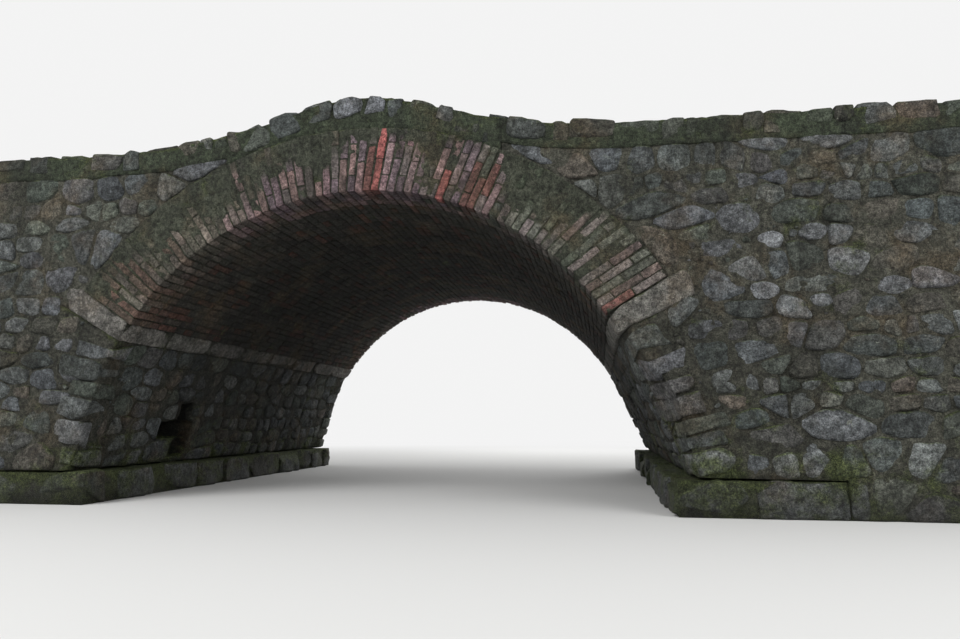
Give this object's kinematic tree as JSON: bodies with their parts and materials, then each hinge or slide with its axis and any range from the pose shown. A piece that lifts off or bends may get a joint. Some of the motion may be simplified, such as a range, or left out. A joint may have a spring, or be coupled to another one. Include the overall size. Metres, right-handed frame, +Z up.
{
  "type": "stone arch bridge",
  "caption": "Small humped road bridge of rubble stone with a round brick arch on stone skewbacks, rough coping and fill.",
  "frame": {"origin": "centre of the bridge's plan, at the foot of its walls", "axes": "+X along the road to the right as the front face is seen, +Y from the front face to the rear, +Z up"},
  "size_m": [11.1938, 6.25, 3.72],
  "materials": {
    "brick": "matte",
    "rubble_stone": "matte",
    "coping_stone": "matte",
    "rubble_fill": "matte",
    "road_gravel": "matte"
  },
  "bodies": {
    "root": {"front_arch_ring": "brick", "arch_barrel": "brick", "rear_arch_ring": "brick", "front_crown_coping": "coping_stone", "rear_crown_coping": "coping_stone", "crown_road": "road_gravel", "left_skewback": "rubble_stone", "left_abutment": "rubble_stone", "left_footing": "rubble_stone", "left_front_spandrel_wall": "rubble_stone", "left_rear_spandrel_wall": "rubble_stone", "left_front_wing_wall": "rubble_stone", "left_rear_wing_wall": "rubble_stone", "left_front_coping": "coping_stone", "left_rear_coping": "coping_stone", "left_haunch_backing": "rubble_fill", "left_spandrel_fill": "rubble_fill", "left_approach_fill": "rubble_fill", "left_road": "road_gravel", "right_skewback": "rubble_stone", "right_abutment": "rubble_stone", "right_footing": "rubble_stone", "right_front_spandrel_wall": "rubble_stone", "right_rear_spandrel_wall": "rubble_stone", "right_front_wing_wall": "rubble_stone", "right_rear_wing_wall": "rubble_stone", "right_front_coping": "coping_stone", "right_rear_coping": "coping_stone", "right_haunch_backing": "rubble_fill", "right_spandrel_fill": "rubble_fill", "right_approach_fill": "rubble_fill", "right_road": "road_gravel"}
  },
  "joints": []
}
